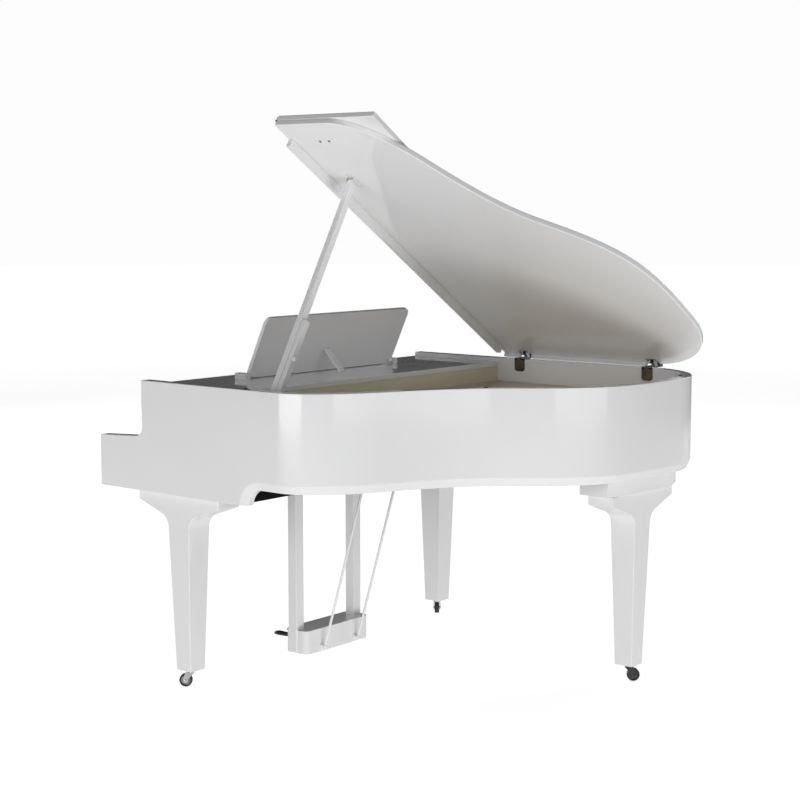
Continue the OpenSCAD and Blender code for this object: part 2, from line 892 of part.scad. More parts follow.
module lyre_braces() {
    dy = rod_head[0] - rod_foot[0];
    dz = rod_head[1] - rod_foot[1];
    color(lacquer) placed() for (s = [-1, 1]) {
        translate([s * rod_x, rod_foot[0], rod_foot[1]]) rotate([-atan2(dy, dz), 0, 0])
            cylinder(h = norm([dy, dz]) - 2, r = rod_r);
        translate([s * rod_x, rod_foot[0], rod_foot[1]]) sphere(r = 7);
        rod_y(s * rod_x, [box_y[1], rod_foot[0]], rod_foot[1], 4);
        translate([s * rod_x, rod_head[0], rod_head[1] - 3]) cylinder(h = 3, r = 11);
    }
}

module pedal_axle() {
    wall_x = post_x - post_w / 2 - 4;
    color(steel) placed() rod_x([-wall_x - 6, wall_x + 6], pedal_axle_y, pedal_z + 2, pedal_bore_r);
}

module floor_screw() {
    color(steel) placed() for (x = screw_xs) translate([x, post_y, 0]) {
        cylinder(h = 5, r = 14);
        translate([0, 0, 5]) cylinder(h = box_z[1] - box_wall - 1, r = screw_r);
    }
}

module pedal(i) {
    tip = pedal_axle_y - pedal_len;
    color(black_paint) placed() translate([i * pedal_pitch, 0, pedal_z - pedal_t / 2]) difference() {
        union() {
            block([-9, 9], [tip + 50, pedal_axle_y], [0, pedal_t]);
            linear_extrude(pedal_t) polygon(concat(
                [[9, tip + 70]],
                arc([0, tip + 15], 15, 20, -200, 16),
                [[-9, tip + 70]]
            ));
            rod_x([-9, 9], pedal_axle_y, pedal_t / 2 + 2, 9);
        }
        rod_x([-10, 10], pedal_axle_y, pedal_t / 2 + 2, pedal_bore_r + running);
    }
}

module pedal_soft() {
    pedal(-1);
}

module pedal_sostenuto() {
    pedal(0);
}

module pedal_damper() {
    pedal(1);
}

// ---------- fasteners ----------
module screws() {
    color(steel) placed() {
        for (p = [[-560, 700], [-560, 1150], [-150, 1400], [250, 1050], [560, 760]])
            translate([p[0], p[1], deck_top]) screw_head(4);
        for (p = leg_places, s = [-1, 1])
            translate([p[0] + s * 26, p[1], leg_foot_z]) rotate([180, 0, 0]) cylinder(h = 0.8, r = 2.5);
    }
}

treble_side();
bass_side();
bent_rim();
bottom_board();
keybed();
bulkhead();
top_board();
sound_deck();
key_slip();
key_blocks();
nameboard();
key_frame();
white_keys();
black_keys();
main_board();
power_supply();
speakers();
jack_box();
ac_inlet();
rim_hinge_leaves();
prop_bracket();
leg_treble();
leg_bass();
leg_tail();
tail_block();
pedal_box();
lyre_posts();
lyre_braces();
pedal_axle();
floor_screw();
desk_brackets();
lid_bumpers();
screws();
main_lid();
lid_batten();
lid_fittings();
lid_flap();
prop_long();
prop_short();
music_desk();
desk_strut();
fallboard();
pedal_soft();
pedal_sostenuto();
pedal_damper();
caster_fork_treble();
caster_fork_bass();
caster_fork_tail();
caster_wheel_treble();
caster_wheel_bass();
caster_wheel_tail();
key_f();
key_f_sharp();
key_g();
key_g_sharp();
key_a();
key_a_sharp();
key_b();
power_button();
volume_knob();
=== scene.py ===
"""Digital baby grand piano: the looks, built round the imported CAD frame.

Everything is drawn in case millimetres: X = 0 is the middle of the case, with the treble side at +X,
Y = 0 is the front of the arms, Z = 0 is the floor. PLACE turns that into the frame's metres.
"""

import json
import math

import bmesh
import bpy
from mathutils import Matrix, Vector


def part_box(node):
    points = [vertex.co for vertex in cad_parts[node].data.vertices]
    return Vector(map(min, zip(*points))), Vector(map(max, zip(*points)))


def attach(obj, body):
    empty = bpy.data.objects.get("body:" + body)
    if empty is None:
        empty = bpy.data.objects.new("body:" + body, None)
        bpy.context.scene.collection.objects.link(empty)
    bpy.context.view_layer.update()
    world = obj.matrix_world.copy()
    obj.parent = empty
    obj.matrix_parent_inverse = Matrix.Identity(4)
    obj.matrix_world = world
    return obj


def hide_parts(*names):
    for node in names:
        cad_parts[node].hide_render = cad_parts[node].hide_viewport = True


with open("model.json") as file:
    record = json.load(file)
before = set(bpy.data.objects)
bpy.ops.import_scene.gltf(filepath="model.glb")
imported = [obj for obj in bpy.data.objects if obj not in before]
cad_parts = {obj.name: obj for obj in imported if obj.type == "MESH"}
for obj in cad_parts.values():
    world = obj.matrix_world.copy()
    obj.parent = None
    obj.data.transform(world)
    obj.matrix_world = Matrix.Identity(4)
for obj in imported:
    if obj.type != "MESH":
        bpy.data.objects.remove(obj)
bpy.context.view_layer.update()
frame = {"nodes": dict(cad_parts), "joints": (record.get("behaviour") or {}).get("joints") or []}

# ---------------------------------------------------------------- frame
MM = 0.001
treble_lo, treble_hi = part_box("treble_side")
bass_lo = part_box("bass_side")[0]
ORIGIN = Vector(((bass_lo.x + treble_hi.x) / 2, treble_lo.y, 0))
PLACE = Matrix.Translation(ORIGIN) @ Matrix.Scale(MM, 4)
JOINTS = {j["name"]: j for j in frame["joints"]}


def span(node):
    """Lowest and highest corners of a CAD node, in case millimetres."""
    low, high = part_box(node)
    return (low - ORIGIN) / MM, (high - ORIGIN) / MM


def pivot(joint):
    """Where a joint turns, in case millimetres."""
    return (Vector(JOINTS[joint]["pos_m"]) - ORIGIN) / MM


# ---------------------------------------------------------------- driving sizes
side_lo, side_hi = span("treble_side")
HALF = side_hi.x
RIM_T = side_hi.x - side_lo.x
INNER = HALF - RIM_T
RIM_TOP = side_hi.z
FRONT_BOTTOM = side_lo.z
JOINT_Y = side_hi.y
CASE_D = span("bent_rim")[1].y
REAR_BOTTOM = span("bent_rim")[0].z
ARM_TOP = 792
ARM_RISE = 9
CHEEK_Y = 198
CHEEK_R = 30
ARCH_Y = 710
ARCH_R = 55
BEVEL_H = 26
BEVEL_IN = 11
CORNER_R = 300
TAIL_FLAT_X = -372

hinge = pivot("lid_lift")
flap_axis = JOINTS["flap_unfold"]["axis"]
LID_OPEN = math.atan2(flap_axis[2], flap_axis[0])
HINGE_DROP = 7
LID_OVER = 18
LID_T = 18
LID_FRONT = 587
FLAP_LIFT = 18.3
HINGE_YS = (683, 1215)
LIP_H = 12.5
LIP_GAP = 1.5
LIP_Y = (588, 1186)
LIP_NOTCH = 52
LID = (
    Matrix.Translation((hinge.x, 0, hinge.z))
    @ Matrix.Rotation(-LID_OPEN, 4, "Y")
    @ Matrix.Translation((-hinge.x, 0, -HINGE_DROP))
)

SHOULDER = ((HALF, JOINT_Y), (HALF, 885), (590, 968), (498, 1010))
WAIST = ((498, 1010), (271, 1112), (203, 1185), (159, 1242))
TAIL = ((159, 1242), (8, 1441), (-72, CASE_D), (TAIL_FLAT_X, CASE_D))
CURVE_STEPS = 36

DECK_TOP = span("sound_deck")[1].z
BOARD_TOP = span("bottom_board")[1].z


# ---------------------------------------------------------------- materials
def material(
    name, dark, light, rough, scale=3.0, stretch=(1, 1, 1), bump=0.0, grit=300.0, depth=0.0002,
    metal=0.0, coat=0.0, coat_rough=0.04, sheen=0.0, specular=0.5, detail=6.0,
):
    """A finish whose colour, gloss and surface all vary through noise that is fixed to the part."""
    made = bpy.data.materials.new(name)
    made.use_nodes = True
    tree = made.node_tree
    shader = tree.nodes["Principled BSDF"]
    place = tree.nodes.new("ShaderNodeTexCoord")
    stretched = tree.nodes.new("ShaderNodeMapping")
    stretched.inputs["Scale"].default_value = stretch
    tree.links.new(place.outputs["Object"], stretched.inputs["Vector"])

    def noise(noise_scale, noise_detail):
        node = tree.nodes.new("ShaderNodeTexNoise")
        node.inputs["Scale"].default_value = noise_scale
        node.inputs["Detail"].default_value = noise_detail
        tree.links.new(stretched.outputs["Vector"], node.inputs["Vector"])
        return node.outputs["Fac"]

    ramp = tree.nodes.new("ShaderNodeValToRGB")
    ramp.color_ramp.elements[0].position = 0.3
    ramp.color_ramp.elements[0].color = (*dark, 1)
    ramp.color_ramp.elements[1].position = 0.7
    ramp.color_ramp.elements[1].color = (*light, 1)
    tree.links.new(noise(scale, detail), ramp.inputs["Fac"])
    tree.links.new(ramp.outputs["Color"], shader.inputs["Base Color"])

    gloss = tree.nodes.new("ShaderNodeMapRange")
    gloss.inputs["From Min"].default_value = 0.3
    gloss.inputs["From Max"].default_value = 0.7
    gloss.inputs["To Min"].default_value = rough[0]
    gloss.inputs["To Max"].default_value = rough[1]
    tree.links.new(noise(scale * 2.7, detail), gloss.inputs["Value"])
    tree.links.new(gloss.outputs["Result"], shader.inputs["Roughness"])

    if bump:
        relief = tree.nodes.new("ShaderNodeBump")
        relief.inputs["Strength"].default_value = bump
        relief.inputs["Distance"].default_value = depth
        tree.links.new(noise(grit, 3.0), relief.inputs["Height"])
        tree.links.new(relief.outputs["Normal"], shader.inputs["Normal"])
    shader.inputs["Metallic"].default_value = metal
    shader.inputs["Coat Weight"].default_value = coat
    shader.inputs["Coat Roughness"].default_value = coat_rough
    shader.inputs["Sheen Weight"].default_value = sheen
    shader.inputs["Specular IOR Level"].default_value = specular
    return made


lacquer = material(
    "white_lacquer", (0.835, 0.835, 0.845), (0.865, 0.865, 0.872), (0.07, 0.13),
    scale=1.7, bump=0.04, grit=160, coat=0.5, coat_rough=0.03, detail=3,
)
satin_lacquer = material(
    "white_satin", (0.74, 0.72, 0.68), (0.80, 0.78, 0.74), (0.25, 0.38),
    scale=4, bump=0.08, grit=260, coat=0.15, coat_rough=0.2,
)
cream_paint = material(
    "cream_rail", (0.66, 0.61, 0.48), (0.75, 0.70, 0.56), (0.3, 0.45),
    scale=4, stretch=(1, 6, 6), bump=0.15, grit=120, depth=0.0003,
)
deck_paint = material(
    "beige_deck", (0.50, 0.43, 0.30), (0.60, 0.525, 0.38), (0.34, 0.5),
    scale=5, stretch=(7, 1, 7), bump=0.25, grit=70, depth=0.0004,
)
black_board = material(
    "black_board", (0.006, 0.006, 0.0065), (0.012, 0.012, 0.012), (0.55, 0.75),
    scale=9, bump=0.3, grit=500, depth=0.0003, specular=0.05,
)
ivory = material(
    "key_white", (0.78, 0.765, 0.715), (0.82, 0.81, 0.77), (0.16, 0.27),
    scale=8, stretch=(3, 1, 1), bump=0.05, grit=900, coat=0.25, coat_rough=0.1,
)
ebony = material(
    "key_black", (0.010, 0.010, 0.011), (0.022, 0.021, 0.021), (0.24, 0.4),
    scale=12, stretch=(4, 1, 1), bump=0.2, grit=700,
)
black_plastic = material(
    "black_plastic", (0.014, 0.014, 0.015), (0.028, 0.028, 0.03), (0.35, 0.5),
    scale=20, bump=0.25, grit=1600,
)
black_gloss = material(
    "black_gloss", (0.008, 0.008, 0.009), (0.02, 0.02, 0.021), (0.08, 0.22),
    scale=15, bump=0.05, grit=400, coat=0.6,
)
steel = material(
    "zinc_steel", (0.46, 0.465, 0.48), (0.62, 0.62, 0.63), (0.25, 0.42),
    scale=25, stretch=(1, 4, 1), bump=0.1, grit=800, metal=1.0,
)
chrome = material(
    "chrome", (0.60, 0.60, 0.615), (0.72, 0.72, 0.73), (0.05, 0.16),
    scale=18, bump=0.03, grit=500, metal=1.0,
)
bronze = material(
    "dark_bronze", (0.085, 0.072, 0.055), (0.16, 0.135, 0.10), (0.28, 0.45),
    scale=30, bump=0.15, grit=700, metal=0.85,
)
gunmetal = material(
    "gunmetal", (0.22, 0.22, 0.23), (0.38, 0.375, 0.37), (0.12, 0.26),
    scale=22, bump=0.06, grit=500, metal=1.0,
)
rubber = material(
    "rubber", (0.02, 0.02, 0.02), (0.035, 0.034, 0.033), (0.55, 0.75),
    scale=30, bump=0.35, grit=1200,
)
felt = material(
    "red_felt", (0.16, 0.012, 0.016), (0.26, 0.025, 0.03), (0.85, 0.98),
    scale=90, bump=0.6, grit=1500, depth=0.0004, sheen=0.7,
)
grille = material(
    "grille_cloth", (0.008, 0.008, 0.009), (0.03, 0.03, 0.031), (0.75, 0.95),
    scale=420, bump=0.7, grit=900, depth=0.0005, sheen=0.3, detail=1,
)
board_green = material(
    "circuit_board", (0.02, 0.12, 0.05), (0.035, 0.2, 0.085), (0.3, 0.45),
    scale=45, stretch=(1, 5, 1), bump=0.2, grit=500, detail=2,
)


# ---------------------------------------------------------------- mesh tools
def arc(centre, radius, start, end, steps):
    """Points on an arc, from and to angles in degrees."""
    turns = [math.radians(start + (end - start) * i / steps) for i in range(steps + 1)]
    return [(centre[0] + radius * math.cos(a), centre[1] + radius * math.sin(a)) for a in turns]


def rounded_rect(x, y, radius, steps=6):
    """A rectangle from (x0, x1) and (y0, y1) with round corners."""
    return (
        arc((x[1] - radius, y[0] + radius), radius, -90, 0, steps)
        + arc((x[1] - radius, y[1] - radius), radius, 0, 90, steps)
        + arc((x[0] + radius, y[1] - radius), radius, 90, 180, steps)
        + arc((x[0] + radius, y[0] + radius), radius, 180, 270, steps)
    )


UP = (0, 0, 1)
DOWN = (0, 0, -1)
BACK = (0, 1, 0)
FORWARD = (0, -1, 0)
RIGHT = (1, 0, 0)
AXES = {
    "x": lambda p, h: (h, p[0], p[1]),
    "y": lambda p, h: (p[0], h, p[1]),
    "z": lambda p, h: (p[0], p[1], h),
}


def skin(bm, rings, capped=True):
    """Joins rings of vertices that have the same number of points."""
    for near, far in zip(rings, rings[1:]):
        for i in range(len(near)):
            j = (i + 1) % len(near)
            bm.faces.new((near[i], near[j], far[j], far[i]))
    if capped:
        bm.faces.new(rings[0][::-1])
        bm.faces.new(rings[-1])


def prism(bm, points, low, high, axis="z"):
    """A flat outline pushed along an axis from low to high."""
    skin(bm, [[bm.verts.new(AXES[axis](p, h)) for p in points] for h in (low, high)])


def block(bm, x, y, z):
    """A plain board; its edges are rounded when the piece is finished."""
    prism(bm, ((x[0], y[0]), (x[1], y[0]), (x[1], y[1]), (x[0], y[1])), z[0], z[1])


def turned(bm, profile, centre, direction, steps=48, closed=True):
    """A shape turned on a lathe: profile holds (radius, height) along direction from centre."""
    turn = Vector((0, 0, 1)).rotation_difference(Vector(direction)).to_matrix()
    centre = Vector(centre)
    rings = []
    for radius, height in profile:
        if radius < 1e-6:
            rings.append([bm.verts.new(centre + turn @ Vector((0, 0, height)))])
            continue
        rings.append([
            bm.verts.new(centre + turn @ Vector((
                radius * math.cos(2 * math.pi * i / steps),
                radius * math.sin(2 * math.pi * i / steps),
                height,
            )))
            for i in range(steps)
        ])
    pairs = list(zip(rings, rings[1:]))
    if closed:
        pairs.append((rings[-1], rings[0]))
    for near, far in pairs:
        for i in range(steps):
            j = (i + 1) % steps
            corners = [near[i % len(near)], near[j % len(near)], far[j % len(far)], far[i % len(far)]]
            corners = list(dict.fromkeys(corners))
            if len(corners) > 2:
                bm.faces.new(corners)


def rod(bm, start, end, radius, steps=24):
    """A round bar with softened ends."""
    start, end = Vector(start), Vector(end)
    long = (end - start).length
    soft = min(0.15 * radius, 0.4)
    turned(
        bm,
        [(0, 0), (radius - soft, 0), (radius, soft), (radius, long - soft), (radius - soft, long), (0, long)],
        start, end - start, steps, closed=False,
    )


def screw(bm, centre, direction, radius, height=1.6):
    """A domed screw head with a round dip in its middle."""
    dome = [(0, height * 0.25)] + [
        (radius * f, height * (1 - f * f) + 0.15) for f in (0.24, 0.28, 0.5, 0.75, 0.93)
    ] + [(radius, 0), (radius, -0.4), (0, -0.4)]
    turned(bm, dome, centre, direction, 24, closed=False)


def lathe(bm, profile, centre, direction, steps=48):
    """A solid turned shape, whose profile starts and ends on the axis."""
    turned(bm, profile, centre, direction, steps, closed=False)


def piece(name, bm, body, finish, nodes=(), pose=None, edge=0.0, steps=3, sharp=28):
    """The drawn mesh becomes an object in the frame, with round edges, and rides on a body."""
    bmesh.ops.recalc_face_normals(bm, faces=bm.faces)
    bm.transform(PLACE @ (pose or Matrix.Identity(4)))
    mesh = bpy.data.meshes.new(name)
    bm.to_mesh(mesh)
    bm.free()
    mesh.materials.append(finish)
    mesh.polygons.foreach_set("use_smooth", [True] * len(mesh.polygons))
    obj = bpy.data.objects.new(name, mesh)
    bpy.context.scene.collection.objects.link(obj)
    if edge:
        bevel = obj.modifiers.new("Round edges", "BEVEL")
        bevel.width = edge * MM
        bevel.segments = steps
        bevel.limit_method = "ANGLE"
        bevel.angle_limit = math.radians(sharp)
        bevel.miter_outer = "MITER_ARC"
        flat = obj.modifiers.new("Even faces", "WEIGHTED_NORMAL")
        flat.keep_sharp = True
        flat.weight = 50
    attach(obj, body)
    if nodes:
        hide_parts(*nodes)
    return obj


def rounded(node, body, finish, edge, sharp=28):
    """A CAD node's own shape, with its edges eased as a finished part has them."""
    bm = bmesh.new()
    bm.from_mesh(frame["nodes"][node].data)
    bmesh.ops.remove_doubles(bm, verts=bm.verts, dist=0.00001)
    bmesh.ops.dissolve_limit(
        bm, angle_limit=math.radians(0.5), verts=bm.verts, edges=bm.edges, use_dissolve_boundaries=False
    )
    bm.transform(PLACE.inverted())
    return piece(node + "_finished", bm, body, finish, (node,), edge=edge, sharp=sharp)


# ---------------------------------------------------------------- case
def bezier(p, t):
    """A point on a cubic curve and the way it is heading."""
    a, b, c, d = (Vector(q) for q in p)
    s = 1 - t
    point = s**3 * a + 3 * s * s * t * b + 3 * s * t * t * c + t**3 * d
    way = s * s * (b - a) + 2 * s * t * (c - b) + t * t * (d - c)
    return point, way.normalized()


def outline(grow=0.0, steps=CURVE_STEPS):
    """The bent side from the treble joint round the tail to the bass joint, moved outward by grow."""
    points = []
    for curve in (SHOULDER, WAIST, TAIL):
        for i in range(steps):
            point, way = bezier(curve, i / steps)
            points.append((point.x + grow * way.y, point.y - grow * way.x))
    centre = (CORNER_R - HALF, CASE_D - CORNER_R)
    points += arc(centre, CORNER_R + grow, 90, 180, steps)
    points.append((-HALF - grow, JOINT_Y))
    return points


def case_shell():
    """Both sides and the bent rim as one skin, with the chamfer that runs along the lower edge."""
    bm = bmesh.new()
    outer, recessed, inner = outline(), outline(-BEVEL_IN), outline(-RIM_T)
    levels = (
        (inner, REAR_BOTTOM), (recessed, REAR_BOTTOM), (outer, REAR_BOTTOM + BEVEL_H),
        (outer, RIM_TOP), (inner, RIM_TOP),
    )
    rings = [[bm.verts.new((*path[i], z)) for path, z in levels] for i in range(len(outer))]
    for near, far in zip(rings, rings[1:]):
        for i in range(5):
            j = (i + 1) % 5
            bm.faces.new((near[i], near[j], far[j], far[i]))

    arch_z = REAR_BOTTOM - ARCH_R
    lift = FRONT_BOTTOM - arch_z
    wide = ARCH_R + BEVEL_H
    upper = arc((ARCH_Y, arch_z), wide, 180 - math.degrees(math.asin(lift / wide)), 90, 16)
    lower = arc((ARCH_Y, arch_z), ARCH_R, 180 - math.degrees(math.asin(lift / ARCH_R)), 90, 16)
    top = [(CHEEK_Y, RIM_TOP)] + arc(
        (CHEEK_Y - CHEEK_R, ARM_TOP + ARM_RISE + CHEEK_R), CHEEK_R, 0, -90, 10
    ) + [(0, ARM_TOP)]
    for side, ring in ((1, rings[0]), (-1, rings[-1])):
        def at(points, x):
            return [bm.verts.new((side * x, y, z)) for y, z in points]

        low_in, low_out, band, high_out, high_in = ring
        toe_out, toe_in = at([(0, FRONT_BOTTOM)], HALF)[0], at([(0, FRONT_BOTTOM)], INNER)[0]
        edge_upper = at(upper, HALF) + [band]
        edge_lower = at(lower, HALF - BEVEL_IN) + [low_out]
        edge_inner = at(lower, INNER) + [low_in]
        top_out, top_in = [high_out] + at(top, HALF), [high_in] + at(top, INNER)
        bm.faces.new([toe_out] + edge_upper + top_out)
        bm.faces.new([toe_in] + edge_inner + top_in)
        for a, b in ((edge_upper, edge_lower), (edge_lower, edge_inner), (top_out, top_in)):
            for i in range(len(a) - 1):
                bm.faces.new((a[i], a[i + 1], b[i + 1], b[i]))
        bm.faces.new((toe_out, edge_upper[0], edge_lower[0], edge_inner[0], toe_in))
        bm.faces.new((toe_out, top_out[-1], top_in[-1], toe_in))
    return piece(
        "case_shell", bm, "case", lacquer, ("treble_side", "bass_side", "bent_rim"),
        edge=2.4, steps=3, sharp=17,
    )


case_shell()

for node, finish, edge in (
    ("keybed", black_board, 1.5), ("bulkhead", cream_paint, 1),
    ("top_board", lacquer, 2.5), ("key_slip", lacquer, 2), ("key_blocks", lacquer, 2.5),
    ("nameboard", lacquer, 1.5), ("lyre_posts", lacquer, 2.5), ("pedal_box", lacquer, 3),
):
    rounded(node, "case", finish, edge)


def tail_block():
    """The curved block that carries the tail leg."""
    bm = bmesh.new()
    low, high = span("tail_block")
    edge = [p for p in outline(-RIM_T - 10, 90) if low.x < p[0] < high.x and p[1] > low.y]
    points = [(high.x, low.y), (high.x, edge[0][1])] + edge + [(low.x, edge[-1][1]), (low.x, low.y)]
    prism(bm, points, low.z, high.z)
    piece("tail_leg_block", bm, "case", lacquer, ("tail_block",), edge=3)


tail_block()


QUARTERS = ((-1, -1), (1, -1), (1, 1), (-1, 1))


def leg(name, node, along_y):
    """A tapered leg that flares into the long block at its top."""
    low, high = span(node)
    cx, cy = (low.x + high.x) / 2, (low.y + high.y) / 2
    long_half = (high.y - low.y) / 2 if along_y else (high.x - low.x) / 2
    foot, neck, neck_z, turn_r, slope = 32, 46.5, 516, 46, 19.2
    curve = arc((neck + turn_r, neck_z), turn_r, 180, 90 + slope, 12)
    head_z = curve[-1][1] + (long_half - curve[-1][0]) * math.tan(math.radians(slope))
    shape = [(foot, low.z)] + curve + [(long_half, head_z), (long_half, high.z)]
    bm = bmesh.new()
    rings = []
    for wide, z in shape:
        deep = foot + (neck - foot) * min(1, (z - low.z) / (curve[-1][1] - low.z))
        dx, dy = (deep, wide) if along_y else (wide, deep)
        rings.append([bm.verts.new((cx + sx * dx, cy + sy * dy, z)) for sx, sy in QUARTERS])
    skin(bm, rings)
    piece(name, bm, "case", lacquer, (node,), edge=2.8, sharp=25)


leg("leg_treble_finished", "leg_treble", True)
leg("leg_bass_finished", "leg_bass", True)
leg("leg_tail_finished", "leg_tail", False)


# ---------------------------------------------------------------- lid
def lid_boards():
    """The main lid, the lip under its bass edge, the flap folded back on it, and the batten."""
    bm = bmesh.new()
    edge = HALF + LID_OVER
    prism(bm, [(edge, LID_FRONT)] + outline(LID_OVER)[:-1] + [(-edge, LID_FRONT)], 0, LID_T)
    piece("lid_panel", bm, "lid", lacquer, ("main_lid",), LID, edge=3, steps=4)
    bm = bmesh.new()
    gap = LIP_NOTCH / 2
    for y in ((LIP_Y[0], HINGE_YS[0] - gap), (HINGE_YS[0] + gap, LIP_Y[1])):
        block(bm, (-edge, -HALF - LIP_GAP), y, (-LIP_H, 0.5))
    piece("lid_lip", bm, "lid", lacquer, (), LID, edge=2, steps=3)
    bm = bmesh.new()
    block(bm, (-edge, edge), (LID_FRONT, LID_FRONT + 385), (FLAP_LIFT, FLAP_LIFT + LID_T))
    piece("flap_panel", bm, "flap", lacquer, ("lid_flap",), LID, edge=3, steps=4)
    bm = bmesh.new()
    block(bm, (-INNER + 6, edge - 75), (LID_FRONT + 1, LID_FRONT + 21), (-26, 0.5))
    piece("lid_batten_finished", bm, "lid", lacquer, ("lid_batten",), LID, edge=2.5)


lid_boards()

KNUCKLES = 12


def flap_hinge():
    """The long hinge between the lid and its flap, knuckle by knuckle."""
    edge = HALF + LID_OVER
    step = 2 * edge / KNUCKLES
    for body, first, name in (("lid", 0, "flap_hinge_lid_leaf"), ("flap", 1, "flap_hinge_flap_leaf")):
        bm = bmesh.new()
        for i in range(first, KNUCKLES, 2):
            x = (-edge + i * step + 0.5, -edge + (i + 1) * step - 0.5)
            rod(bm, (x[0], LID_FRONT - 3, FLAP_LIFT - 0.15), (x[1], LID_FRONT - 3, FLAP_LIFT - 0.15), 2.7, 20)
            z = (5, FLAP_LIFT) if first == 0 else (FLAP_LIFT, FLAP_LIFT + 13)
            block(bm, x, (LID_FRONT - 1.4, LID_FRONT + 0.4), z)
            for k in range(4):
                sx = x[0] + (k + 0.5) * (x[1] - x[0]) / 4
                sz = (z[0] + z[1]) / 2 + (-2 if first == 0 else 2)
                screw(bm, (sx, LID_FRONT - 1.4, sz), FORWARD, 2.4, 0.8)
        piece(name, bm, body, bronze, (), LID, edge=0.4, steps=2)


flap_hinge()


def lid_hinges():
    """Each lid hinge: a leaf on the rim, a strap over it, a barrel, and a wing under the lid."""
    rim = bmesh.new()
    straps = bmesh.new()
    wings = bmesh.new()
    for y in HINGE_YS:
        face = -INNER + (7 if y > CASE_D - CORNER_R - 30 else 3)
        leaf = arc((y + 10, RIM_TOP - 33), 11, -90, 0, 8) + [(y + 21, RIM_TOP + 2), (y - 21, RIM_TOP + 2)]
        leaf += arc((y - 10, RIM_TOP - 33), 11, 180, 270, 8)
        prism(rim, leaf, -INNER, face, "x")
        for dy in (-11, 11):
            screw(rim, (face, y + dy, RIM_TOP - 30), (1, 0, 0), 4, 1.4)
        screw(rim, (face, y, RIM_TOP - 15), (1, 0, 0), 4, 1.4)
        arm = [(face, RIM_TOP - 4), (face, RIM_TOP + 1)]
        arm += arc((face - 4, RIM_TOP + 0.2), 4.4, 10, 90, 5)
        arm += [(hinge.x + 6, RIM_TOP + 4.2), (hinge.x - 4, RIM_TOP + 6), (hinge.x - 4, RIM_TOP + 0.2)]
        arm += [(face - 3, RIM_TOP + 0.2), (face - 3, RIM_TOP - 4)]
        for dy in ((-20.5, -8.4), (8.4, 20.5)):
            prism(straps, arm, y + dy[0], y + dy[1], "y")
            rod(straps, (hinge.x, y + dy[0], hinge.z), (hinge.x, y + dy[1], hinge.z), 4.5)
            block(straps, (hinge.x - 3.6, hinge.x + 3.6), (y + dy[0], y + dy[1]), (RIM_TOP + 1, hinge.z))
        rod(straps, (hinge.x, y - 22, hinge.z), (hinge.x, y + 22, hinge.z), 2.1)
        wing = rounded_rect((-HALF - 12, -HALF + 22), (y - 21.5, y + 21.5), 5)
        prism(wings, wing, -1.2, 1.5)
        rod(wings, (hinge.x, y - 7.2, HINGE_DROP), (hinge.x, y + 7.2, HINGE_DROP), 4.4)
        block(wings, (hinge.x - 2, -HALF - 8), (y - 7.2, y + 7.2), (-0.4, 2.4))
        for dx, dy in ((-3, -14), (-3, 14), (13, -14), (13, 14)):
            screw(wings, (-HALF + dx, y + dy, -1.2), DOWN, 3.4, 1.1)
    piece("hinge_rim_leaves", rim, "case", bronze, ("rim_hinge_leaves",), edge=0.6, steps=2)
    piece("hinge_straps", straps, "case", gunmetal, (), edge=0.8, steps=2)
    piece("hinge_lid_wings", wings, "lid", gunmetal, ("lid_fittings",), LID, edge=0.5, steps=2)


lid_hinges()

prop = pivot("long_prop_fold")
CUP_X = hinge.x + 1153
PLATE_AT = (632, 724)


def prop_cup():
    """The pocket that holds the upper end of the prop, and the screws of the small plate near the treble
    edge.
    """
    bm = bmesh.new()
    plate = rounded_rect((CUP_X - 30, CUP_X + 30), (prop.y - 12.8, prop.y + 12.8), 6)
    prism(bm, plate, -2, 0.4)
    for side in (-1, 1):
        cheek = [(CUP_X - 25, 0.3), (CUP_X - 21, -8)]
        cheek += arc((CUP_X - 13, -6), 7, 200, 270, 5) + arc((CUP_X + 9, -6), 7, 270, 340, 5)
        cheek.append((CUP_X + 20, 0.3))
        y = prop.y + side * 15
        prism(bm, cheek, y - 1.5, y + 1.5, "y")
    for dx in (-22, 22):
        screw(bm, (CUP_X + dx, prop.y, -2), DOWN, 3.2, 1.0)
    piece("prop_cup", bm, "lid", satin_lacquer, (), LID, edge=0.8, steps=2)
    bm = bmesh.new()
    for dy in (-18, 18):
        screw(bm, (PLATE_AT[0], PLATE_AT[1] + dy, 0), DOWN, 5, 2.4)
    piece("lid_plate_screws", bm, "lid", gunmetal, (), LID)


prop_cup()

# ---------------------------------------------------------------- prop
rounded("prop_long", "long_prop", lacquer, 2.5)
rounded("prop_short", "short_prop", lacquer, 2.2)


def prop_bracket():
    """Two ears that stand on the deck, with the prop's axle and a nut at each end."""
    low, high = span("prop_bracket")
    bm = bmesh.new()
    for y in (low.y, high.y - 3):
        ear = [(prop.x - 13, DECK_TOP), (prop.x + 13, DECK_TOP)]
        ear += arc((prop.x, prop.z), 12, -10, 190, 14)
        prism(bm, ear, y, y + 3, "y")
    rod(bm, (prop.x, low.y - 1, prop.z), (prop.x, high.y + 1, prop.z), 4)
    for y, way in ((low.y, -1), (high.y, 1)):
        nut = [(0, 4), (5, 4), (7, 2.6), (7, 0), (0, 0)]
        lathe(bm, nut, (prop.x, y, prop.z), (0, way, 0), 6)
    piece(
        "prop_bracket_finished", bm, "case", bronze, ("prop_bracket",),
        edge=0.6, steps=2,
    )


prop_bracket()


# ---------------------------------------------------------------- music desk
desk_axis = pivot("desk_fold")
DESK_LEAN = math.radians(25)
DESK = Matrix.Translation((0, desk_axis.y, desk_axis.z)) @ Matrix.Rotation(-DESK_LEAN, 4, "X")
DESK_HALF = span("music_desk")[1].x
DESK_UP = 206
DESK_DROP = 12
DESK_R = 24
STRUT_X = 20
STRUT_AT = 70


